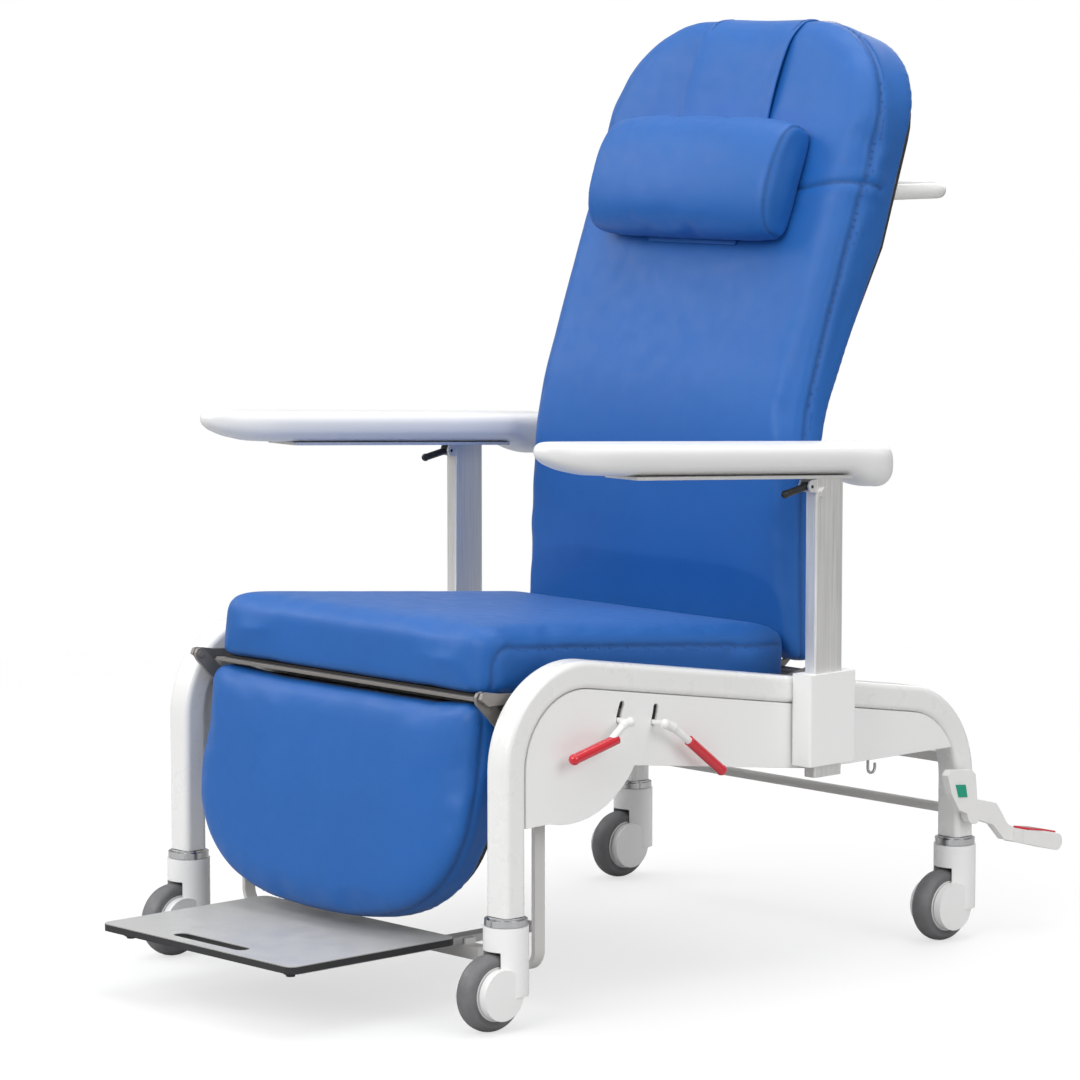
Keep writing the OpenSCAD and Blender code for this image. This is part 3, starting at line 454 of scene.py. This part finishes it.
class Slab:
    """A cushion between a face line and a back line in the side view, cut to an outline across the chair.

    face and back are lists of (y, z) points in mm, walked in step; outline is the list of (x, s) points of
    the right half, s being the share of the way along, and rear the same for the back where it differs.
    Corners and edges are rounded by face_edge and back_edge, and the face rises by crown in its middle.
    inset makes the face side smaller, to leave room for a swelling.
    """

    def __init__(self, face, back, outline, face_edge, back_edge, crown=0, inset=0, rear=None):
        self.face, self.back = self.measured(face), self.measured(back)
        self.length = self.face[1][-1]
        self.outline = np.array([(x, s * self.length) for x, s in outline], float)
        self.rear = np.array([(x, s * self.length) for x, s in rear or outline], float)
        self.face_edge, self.back_edge, self.crown, self.inset = face_edge, back_edge, crown, inset

    @staticmethod
    def measured(points):
        p = np.array(points, float)
        return p, np.concatenate([[0], np.cumsum(np.linalg.norm(np.diff(p, axis=0), axis=1))])

    @staticmethod
    def along(line, share):
        p, lengths = line
        return np.array([np.interp(share * lengths[-1], lengths, p[:, k]) for k in (0, 1)])

    def half_width(self, s):
        return float(np.interp(s, self.outline[:, 1], self.outline[:, 0]))

    @staticmethod
    def rim(outline):
        """The whole outline as (x, s) points 3 mm apart, closed across both ends."""
        right = [tuple(p) for p in outline]
        left = [(-x, s) for x, s in reversed(right)]
        return polyline([*right, *left, right[0]], 3.0)

    def place(self, x, s, depth):
        """Point in metres at (x, s) in the outline, depth mm behind the face; see FROM_BACK."""
        share = s / self.length
        f, b = self.along(self.face, share), self.along(self.back, share)
        inward = (b - f) / np.linalg.norm(b - f)
        y, z = f + inward * depth if depth < FROM_BACK else b - inward * (depth - FROM_BACK)
        return np.array([x, y, z]) * MM

    def build(self, name, rows=70, columns=44):
        end = 0.5 - 0.5 * np.cos(np.linspace(0, math.pi, rows))
        across = np.sin(np.linspace(-math.pi / 2, math.pi / 2, columns))
        verts = []
        for layer, edge, outline in ((0, self.face_edge, self.outline), (1, self.back_edge, self.rear)):
            rim = self.rim(outline)
            inset = 0 if layer else self.inset
            for share in end:
                s = share * self.length
                w = float(np.interp(s, outline[:, 1], outline[:, 0]))
                for u in across:
                    d = math.sqrt(((rim - (u * w, s)) ** 2).sum(1).min()) if abs(u) < 1 else 0.0
                    q = min(d / edge, 1)
                    drop = edge * (1 - math.sqrt(max(0.0, 1 - (1 - q) ** 2))) + inset
                    if layer == 0:
                        drop -= self.crown * (1 - math.exp(-d / CROWN_REACH))
                    verts.append(self.place(u * max(w - inset, 0), s, drop + FROM_BACK * layer))
        count = rows * columns
        faces = []
        for r in range(rows - 1):
            for c in range(columns - 1):
                a = r * columns + c
                faces.append((a, a + 1, a + columns + 1, a + columns))
                faces.append((a + count, a + columns + count, a + columns + 1 + count, a + 1 + count))
        rim_ids = [*range(columns),
                   *(r * columns + columns - 1 for r in range(1, rows)),
                   *(count - 2 - c for c in range(columns - 1)),
                   *(r * columns for r in range(rows - 2, 0, -1))]
        for a, b in zip(rim_ids, [*rim_ids[1:], rim_ids[0]]):
            faces.append((b, a, a + count, b + count))
        return mesh_object(name, verts, faces)

    def edge_seam(self, depth):
        """Seam round the rim at that depth behind the face."""
        right = [(x, s) for x, s in self.outline if s <= self.length]
        loop = [*[(-x, s) for x, s in right], *reversed(right)]
        return [self.place(x, s, depth) for x, s in loop]

    def cross_seam(self, share, depth_to, dip=0):
        """Seam across the face and down both sides at one share of the length, dip mm lower in the middle."""
        s = share * self.length
        w = self.half_width(s)
        side = [self.place(w, s, d) for d in np.linspace(self.face_edge, depth_to, 8)]
        front = [self.place(x, s - dip * (1 - (x / w) ** 2), 0)
                 for x in np.linspace(w - self.face_edge, self.face_edge - w, 60)]
        other = [self.place(-w, s, d) for d in np.linspace(self.face_edge, depth_to, 8)]
        return [*reversed(side), *front, *other]

    def waterfall_seam(self, side, depth):
        """Seam along one side, depth mm behind the face, that turns down the near corner."""
        bend, near = 30, 22      # the turn's radius, and how far the drop is from the near end
        run = [(s, depth) for s in np.linspace(self.length - 14, near + bend, 40)]
        turn = [(near + bend - bend * math.sin(a), depth + bend * (1 - math.cos(a)))
                for a in np.linspace(0.1, math.pi / 2, 8)]
        drop = [(near, d) for d in np.linspace(depth + bend + 6, 76, 6)]
        return [self.place(side * self.half_width(s), s, d) for s, d in run + turn + drop]


def rounded_half(width, length, near, far, straight=16):
    """Right half of a rounded rectangle as (x, share of length), near and far being its corner radii."""
    out = [(width / 2 - near + near * math.sin(a), (near - near * math.cos(a)) / length)
           for a in np.linspace(0, math.pi / 2, 12)]
    out += [(width / 2, s / length) for s in np.linspace(near, length - far, straight)[1:-1]]
    out += [(width / 2 - far + far * math.cos(a), (length - far + far * math.sin(a)) / length)
            for a in np.linspace(0, math.pi / 2, 16)]
    return [(x, min(max(s + 1e-6 * i, 0), 1)) for i, (x, s) in enumerate(out)]


def upholstered(name, slab, node, body, pressure, cap, voxel, keep=None):
    """Builds a slab, swells it, holds it to what keep allows, and hangs it on its body for its node."""
    pad = slab.build(name)
    remeshed(pad, voxel)
    relaxed(pad, 3)
    puffed(pad, pressure, cap)
    relaxed(pad, 2)
    if keep:
        set_coordinates(pad.data, keep(coordinates(pad.data)))
    subdivided(pad)
    dress(pad, SLOT_OF[node])
    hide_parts(node)
    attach(pad, body)
    return pad


VOXEL = 0.006
SWELL = 3        # mm that a simulated pad starts below its finished size

# Seat: its board is 9 mm thick and slopes back from the front edge.
slope = math.radians(4.8)
seat_length, seat_thick, seat_width = 570, 80, 560
seat_dir = np.array([math.cos(slope), -math.sin(slope)])
seat_up = np.array([math.sin(slope), math.cos(slope)])
seat_root = np.array([-388.0, 414.0]) + seat_up * 9.3


def seat_line(height):
    return [seat_root + seat_up * height + seat_dir * seat_length * i / 10 for i in range(11)]


seat_slab = Slab(seat_line(seat_thick), seat_line(0), rounded_half(seat_width, seat_length, 40, 16),
                 18, 7, crown=9, inset=SWELL)


SEAT_ROOM, BACK_ROOM, LEG_ROOM = 0.2835, 0.2845, 0.2815      # half the width that each pad may fill


def keep_seat(co):
    """Flat on its board, and no wider than the space between the side bars."""
    base = seat_root * MM
    height = (co[:, 1:] - base) @ seat_up
    co[:, 1:] += np.outer(np.maximum(0.0002 - height, 0), seat_up)
    co[:, 0] = np.clip(co[:, 0], -SEAT_ROOM, SEAT_ROOM)
    length = (co[:, 1:] - base) @ seat_dir
    co[:, 1:] -= np.outer(np.maximum(length - seat_length * MM, 0), seat_dir)
    return co


seat_pad = upholstered("seat_pad", seat_slab, "seat_cushion", "chassis", 3.0, 0.008, VOXEL, keep_seat)
seat_seams = [seat_slab.waterfall_seam(1, 16), seat_slab.waterfall_seam(-1, 16)]
sewn(seat_pad, seat_seams, 0.0014)
stitches("seat_stitching", seat_pad, seat_seams, 0.0036)

# Backrest
BACK_BEND, BACK_LEAN, BACK_Y, BACK_TOP = 734.5, math.radians(20.35), 194.0, 1299.0
BACK_BLEND = 72.0                          # straight length that the bend's arc takes on each side
BACK_FOOT = 405.0


def back_face():
    """Front line: upright below the bend, leaning above it, with an arc between."""
    r = BACK_BLEND / math.tan(BACK_LEAN / 2)
    arc = [(BACK_Y + r - r * math.cos(a), BACK_BEND - BACK_BLEND + r * math.sin(a))
           for a in np.linspace(0, BACK_LEAN, 14)]
    top = (BACK_Y + (BACK_TOP - BACK_BEND) * math.tan(BACK_LEAN), BACK_TOP)
    return [(BACK_Y, BACK_FOOT), *arc, top]


back_rear = [(249, BACK_FOOT), (249, 700), (262, 752), (312, 846), (380, 970),
             (444, 1158), (474, 1246), (480, 1264)]
back_length = Slab.measured(back_face())[1][-1]


def back_outline(corner):
    """Right half of the backrest from below: near-parallel sides and a round corner at the top."""
    out = [(270.0, 0.0), (275.5, 0.004), (278.0, 0.012), (278.0, 0.035), (278.0, 0.3), (276.0, 0.38)]
    half = 271.0
    low = back_length - corner
    out += [(276 - 5 * t, (0.4 + (low / back_length - 0.4) * t)) for t in np.linspace(0.1, 1, 8)]
    out += [(half - corner + corner * math.cos(a), (low + corner * math.sin(a)) / back_length)
            for a in np.linspace(0.06, math.pi / 2, 18)]
    return out


back_slab = Slab(back_face(), back_rear, back_outline(168), 30, 8,
                 crown=8, inset=SWELL, rear=back_outline(136))


def keep_back(co):
    """Clear of the board behind, the seat below and the posts at the sides."""
    co[:, 0] = np.clip(co[:, 0], -BACK_ROOM, BACK_ROOM)
    rear_y = np.interp(co[:, 2], [p[1] * MM for p in back_rear], [p[0] * MM for p in back_rear])
    inside = (np.abs(co[:, 0]) < 0.256) & (co[:, 2] < 1.24)
    co[:, 1] = np.where(inside, np.minimum(co[:, 1], rear_y), co[:, 1])
    co[:, 2] = np.maximum(co[:, 2], BACK_FOOT * MM)
    free = np.clip((co[:, 2] - 0.45) / 0.22, 0, 1)
    room = 0.002 + 0.028 * free * free * (3 - 2 * free)
    co[:, 1] = np.where(co[:, 2] < 0.67, np.maximum(co[:, 1], BACK_Y * MM - room), co[:, 1])
    return co


back_pad = upholstered("back_pad", back_slab, "backrest_cushion", "backrest", 3.0, 0.008, VOXEL, keep_back)
back_seams = [back_slab.edge_seam(17), back_slab.cross_seam(0.738, 52, 40)]
sewn(back_pad, back_seams)
stitches("back_stitching", back_pad, back_seams, 0.0036)

# Legrest: its own plane hangs from the pivot with the foot end forward.
tilt = math.radians(9.25)
leg_pivot = np.array([-394.0, 422.0])
leg_down = np.array([-math.sin(tilt), -math.cos(tilt)])
leg_in = np.array([math.cos(tilt), -math.sin(tilt)])
LEG_T, LEG_W, LEG_L, LEG_STRAIGHT, LEG_ROUND = 62.0, 558.0, 311.0, 110.0, 2.6


def leg_line(depth):
    return [leg_pivot + leg_in * (6 + depth) + leg_down * (7 + LEG_L * i / 12) for i in range(13)]


def leg_outline():
    """Straight sides that run into one round end, widest at the top."""
    out = [(LEG_W / 2 - 24 + 24 * math.sin(a), (24 - 24 * math.cos(a)) / LEG_L)
           for a in np.linspace(0, math.pi / 2, 7)]
    for a in np.linspace(0, math.pi / 2, 40):
        x = LEG_W / 2 * max(math.cos(a), 0) ** (2 / LEG_ROUND)
        s = LEG_STRAIGHT + (LEG_L - LEG_STRAIGHT) * math.sin(a) ** (2 / LEG_ROUND)
        out.append((x, s / LEG_L))
    return out


leg_slab = Slab(leg_line(0), leg_line(LEG_T), leg_outline(), 16, 7, crown=7, inset=SWELL)


def keep_leg(co):
    """Flat on its board and no wider than the frame."""
    depth = (co[:, 1:] - leg_pivot * MM) @ leg_in - (6 + LEG_T) * MM
    co[:, 1:] -= np.outer(np.maximum(depth, 0), leg_in)
    down = (co[:, 1:] - leg_pivot * MM) @ leg_down
    co[:, 1:] += np.outer(np.maximum(0.006 - down, 0), leg_down)
    co[:, 0] = np.clip(co[:, 0], -LEG_ROOM, LEG_ROOM)
    co[:, 2] = np.maximum(co[:, 2], 0.0975)
    return co


leg_pad = upholstered("legrest_pad", leg_slab, "legrest_cushion", "legrest", 3.0, 0.007, VOXEL, keep_leg)
leg_seams = [leg_slab.edge_seam(15)]
sewn(leg_pad, leg_seams, 0.0014)
stitches("legrest_stitching", leg_pad, leg_seams, 0.0036)


# ---- head pillow and its strap ----

back_out = np.array([-math.cos(BACK_LEAN), math.sin(BACK_LEAN)])      # away from the upper back, in (y, z)
back_up = np.array([math.sin(BACK_LEAN), math.cos(BACK_LEAN)])
PILLOW_Z, PILLOW_H, PILLOW_T, PILLOW_L = 1050.0, 190.0, 84.0, 362.0
pillow_root = np.array([BACK_Y + (PILLOW_Z - BACK_BEND) * math.tan(BACK_LEAN), PILLOW_Z]) + back_out * 5.0


def pillow_ring(x, count=48):
    """Closed D-shaped section at x: flat against the back, round outside, drawn in towards the ends."""
    e = abs(x) / (PILLOW_L / 2 - SWELL)
    draw = 1 - 0.09 * e ** 6
    belly = 1 - 0.08 * e ** 2
    h, t = (PILLOW_H / 2 - SWELL) * draw * (1 - 0.05 * e ** 2), (PILLOW_T - SWELL) * draw * belly
    ring = []
    for i in range(count):
        a = math.tau * i / count
        c, s = math.cos(a), math.sin(a)
        out = t * (0.42 + 0.58 * abs(c) ** 0.85) if c > 0 else t * 0.42 * (1 - abs(c) ** 0.35)
        up = h * math.copysign(abs(s) ** 0.86, s)
        p = pillow_root + back_out * out + back_up * up
        ring.append(np.array([x, p[0], p[1]]) * MM)
    return ring


def lofted(name, rings):
    """Skin over closed rings of equal count, with a cap on each end."""
    n = len(rings[0])
    verts = [v for ring in rings for v in ring]
    faces = [(r * n + k, r * n + (k + 1) % n, (r + 1) * n + (k + 1) % n, (r + 1) * n + k)
             for r in range(len(rings) - 1) for k in range(n)]
    faces.append(tuple(reversed(range(n))))
    faces.append(tuple((len(rings) - 1) * n + k for k in range(n)))
    return mesh_object(name, verts, faces)


END_ANGLE = 1.55      # rings crowd towards the pillow's ends as the sine of angles up to this one
sines = np.sin(np.linspace(-END_ANGLE, END_ANGLE, 60))
ring_places = sines * (PILLOW_L / 2 - SWELL) / math.sin(END_ANGLE) * 0.9999
pillow = lofted("head_pillow", [pillow_ring(x) for x in ring_places])
remeshed(pillow, 0.0045)
relaxed(pillow, 2)
puffed(pillow, 3.0, 0.006)
pillow_co = coordinates(pillow.data)
stand = (pillow_co[:, 1:] - pillow_root * MM) @ back_out
pillow_co[:, 1:] += np.outer(np.maximum(-stand, 0), back_out)
set_coordinates(pillow.data, pillow_co)
subdivided(pillow)
dress(pillow, "blue_vinyl")
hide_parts("headrest_pillow")
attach(pillow, "pillow")
pillow_seams = [[*pillow_ring(x), pillow_ring(x)[0]] for x in (-0.485 * PILLOW_L, 0.485 * PILLOW_L)]
sewn(pillow, pillow_seams, 0.0018, 0.0034)
stitches("pillow_stitching", pillow, pillow_seams, 0.003)

STRAP_HALF, STRAP_T, STRAP_FOOT_Z = 87.0, 4.0, 966.0


def strap_line():
    """Middle line of the strap: up the front of the back, over its top and down behind."""
    top = np.array([BACK_Y + (BACK_TOP - BACK_BEND) * math.tan(BACK_LEAN), BACK_TOP])
    foot = np.array([BACK_Y + (STRAP_FOOT_Z - BACK_BEND) * math.tan(BACK_LEAN), STRAP_FOOT_Z])
    front = [foot + (top - back_up * 34 - foot) * t + back_out * 2.0 for t in np.linspace(0, 1, 30)]
    over = [(top[0] - 12, 1272), (top[0] - 5, 1287), (top[0] + 7, 1298), (top[0] + 23, 1301),
            (top[0] + 42, 1298), (top[0] + 60, 1286), (top[0] + 74, 1269), (487, 1249)]
    rear = [(487 - 40 * t, 1249 - 119 * t) for t in np.linspace(0.1, 1, 12)]
    return [*front, *over, *rear]


def strap_mesh():
    """The strap laid on the back pad, its edges a little free of it above the pillow, and straight behind."""
    line = [np.array(p, float) for p in strap_line()]
    columns = np.linspace(-1, 1, 41)
    tree = surface_tree(back_pad)
    verts, faces = [], []
    for i, p in enumerate(line):
        ahead = line[min(i + 1, len(line) - 1)] - line[max(i - 1, 0)]
        ahead /= np.linalg.norm(ahead)
        out = np.array([-ahead[1], ahead[0]])
        out /= np.linalg.norm(out)
        free = math.sin(math.pi * min(max((p[1] - 1130) / 140, 0), 1)) if i < len(line) - 14 else 0
        for u in columns:
            base = np.array([u * STRAP_HALF, p[0], p[1]]) * MM
            away = np.array([0, out[0], out[1]])
            if i < len(line) - 12:
                hit = tree.ray_cast(Vector(base + away * 0.05), Vector(-away), 0.09)[0]
                base = base if hit is None else np.array(hit)
            lift = 1.0 + 4.5 * abs(u) ** 6 * free
            for face in (0, 1):
                verts.append(base + away * (lift + STRAP_T * face) * MM)
    n = len(columns)

    def at(r, c, face):
        return (r * n + c) * 2 + face

    for r in range(len(line) - 1):
        for c in range(n - 1):
            faces.append((at(r, c, 1), at(r, c + 1, 1), at(r + 1, c + 1, 1), at(r + 1, c, 1)))
            faces.append((at(r, c, 0), at(r + 1, c, 0), at(r + 1, c + 1, 0), at(r, c + 1, 0)))
        for c, order in ((0, 1), (n - 1, -1)):
            quad = [at(r, c, 0), at(r, c, 1), at(r + 1, c, 1), at(r + 1, c, 0)]
            faces.append(tuple(quad[::order]))
    for r, order in ((0, 1), (len(line) - 1, -1)):
        for c in range(n - 1):
            faces.append(tuple([at(r, c, 0), at(r, c + 1, 0), at(r, c + 1, 1), at(r, c, 1)][::order]))
    return mesh_object("head_strap", verts, faces)


strap = strap_mesh()
subdivided(strap)
dress(strap, "blue_vinyl")
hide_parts("pillow_strap")
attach(strap, "backrest")
strap_length = Slab.measured(strap_line())[1][-1] * MM
strap_hems = [[np.array([x, *(np.array(p) + back_out * STRAP_T)]) * MM for p in strap_line()[:36]]
              for x in (7 - STRAP_HALF, STRAP_HALF - 7)]
sewn(strap, strap_hems, 0.0006, 0.0016)
stitches("strap_stitching", strap, strap_hems, 0.0, radius=0.0005)


# ---- moulded arm pads ----

ARM_T, ARM_TOP, ARM_SLOPE = 41.0, 748.0, math.tan(math.radians(3.4))
ARM_Y = (-345.0, 304.0)
ARM_MIDDLE, ARM_HALF = 338.0, 42.0
LOBE = 31.0


def arm_top(y):
    return ARM_TOP - (y - ARM_Y[0]) * ARM_SLOPE


def arm_section(share):
    """(y, half width, top, bottom) at a share of the pad's length."""
    y = ARM_Y[0] + share * (ARM_Y[1] - ARM_Y[0])
    nose = min(1.0, (y - ARM_Y[0]) / 118)
    tail = min(1.0, (ARM_Y[1] - y) / 56)
    half = ARM_HALF * (1 - (1 - nose) ** 2.3) ** 0.55 * (1 - (1 - tail) ** 2) ** 0.5
    roll = min(1.0, (y - ARM_Y[0]) / 26)
    top = arm_top(y) + 2.5 - 14 * (1 - (1 - (1 - roll) ** 2) ** 0.5)
    under = [(-345, -13), (-339, -20), (-325, -27.5), (-300, -35), (-270, -40), (-235, -ARM_T), (196, -ARM_T),
             (214, -46), (232, -54), (252, -58.5), (275, -58)]
    bottom = arm_top(y) + float(np.interp(y, [p[0] for p in under], [p[1] for p in under]))
    if y > ARM_Y[1] - LOBE:
        reach = math.sqrt(max(0.0, LOBE ** 2 - (y - ARM_Y[1] + LOBE) ** 2))
        centre = arm_top(ARM_Y[1] - LOBE) + 2.5 - LOBE
        top, bottom = centre + reach, centre - reach
    return y, half, top, bottom


def arm_ring(share, side, count=56):
    y, half, top, bottom = arm_section(share)
    middle, rise = (top + bottom) / 2, max((top - bottom) / 2, 0.05)
    ring = []
    for i in range(count):
        a = math.tau * i / count * side
        c, s = math.cos(a), math.sin(a)
        power = 0.62 if s > 0 else 0.72
        x = max(half, 0.05) * math.copysign(abs(c) ** 0.7, c) * (1 - 0.10 * max(0.0, -s) ** 2)
        z = middle + rise * math.copysign(abs(s) ** power, s)
        ring.append(np.array([side * ARM_MIDDLE + x, y, z]) * MM)
    return ring


def arm_pad(side_name, side):
    shares = 0.5 - 0.5 * np.cos(np.linspace(0.02, math.pi - 0.02, 84))
    pad = lofted("arm_pad_" + side_name, [arm_ring(t, side) for t in shares])
    remeshed(pad, 0.003)
    relaxed(pad, 5)
    node = "armrest_pad_" + side_name
    dress(pad, SLOT_OF[node])
    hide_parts(node)
    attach(pad, "armrest_" + side_name)


for side_key, side_sign in SIDES.items():
    arm_pad(side_key, side_sign)


# ---- floor, light and camera ----

def plane(name, size, place):
    corners = [(-size, -size, 0), (size, -size, 0), (size, size, 0), (-size, size, 0)]
    obj = mesh_object(name, corners, [(0, 1, 2, 3)])
    obj.location = place
    return obj


floor = plane("floor", 14, (0, 0, 0))
floor_finish = Finish("floor", (0.86, 0.86, 0.86), 0.7)
floor_finish.roughness(floor_finish.ranged(floor_finish.noise(3, 3), 0.62, 0.78))
from_middle = floor_finish.node("ShaderNodeVectorMath", operation="LENGTH")
floor_finish.link(floor_finish.place, from_middle.inputs[0])
seen = floor_finish.node("ShaderNodeLightPath").outputs["Is Camera Ray"]
faded = floor_finish.ranged(from_middle.outputs["Value"], 1, 0, 1.5, 3.4)
thin = floor_finish.ranged(seen, 1, 0.35, 0, 1)
floor_finish.link(floor_finish.maths("MULTIPLY", faded, thin), floor_finish.shader.inputs["Alpha"])
floor_finish.colour(floor_finish.mixed(seen, (0.5, 0.5, 0.5), (0.9, 0.9, 0.9)))
floor.data.materials.append(floor_finish.mat)


def soft_light(name, place, target, size, watts):
    data = bpy.data.lights.new(name, "AREA")
    data.shape = "RECTANGLE"
    data.size, data.size_y = size
    data.energy = watts
    obj = bpy.data.objects.new(name, data)
    obj.location = place
    obj.rotation_euler = (Vector(target) - Vector(place)).to_track_quat("-Z", "Y").to_euler()
    bpy.context.scene.collection.objects.link(obj)


soft_light("front", (0.8, -4.2, 3.0), (0, 0, 0.6), (3.2, 2.6), 122)
soft_light("left", (-3.2, -1.8, 2.8), (0, 0, 0.7), (2.4, 2.2), 48)
soft_light("right", (4.0, 0.2, 2.4), (0, 0, 0.6), (2.2, 2.4), 46)
soft_light("top", (0.2, 0.3, 4.2), (0, 0, 0.6), (3.2, 3.2), 78)
soft_light("rim", (-1.5, 3.6, 2.4), (0, 0, 0.8), (2.2, 2.0), 22)

world = bpy.data.worlds.new("studio")
world.use_nodes = True
sky = world.node_tree
camera_ray = sky.nodes.new("ShaderNodeLightPath").outputs["Is Camera Ray"]
direction = sky.nodes.new("ShaderNodeTexCoord").outputs["Generated"]
split = sky.nodes.new("ShaderNodeSeparateXYZ")
sky.links.new(direction, split.inputs["Vector"])
height = sky.nodes.new("ShaderNodeMapRange")
for key, value in (("From Min", -0.4), ("From Max", 0.7), ("To Min", 0.12), ("To Max", 0.62)):
    height.inputs[key].default_value = value
sky.links.new(split.outputs["Z"], height.inputs["Value"])
strength = sky.nodes.new("ShaderNodeMix")
sky.links.new(camera_ray, strength.inputs["Factor"])
sky.links.new(height.outputs["Result"], strength.inputs["A"])
strength.inputs["B"].default_value = 1.0
background = sky.nodes["Background"]
background.inputs["Color"].default_value = (1, 1, 1, 1)
sky.links.new(strength.outputs["Result"], background.inputs["Strength"])
bpy.context.scene.world = world
bpy.context.scene.view_settings.view_transform = "Standard"

camera = bpy.data.objects.new("camera", bpy.data.cameras.new("camera"))
camera.data.lens = 147.1
camera.data.sensor_width = 36
camera.location = (4.412, -4.122, 1.249)
camera.rotation_euler = (math.radians(83.60), 0, math.radians(47.12))
bpy.context.scene.collection.objects.link(camera)
bpy.context.scene.camera = camera
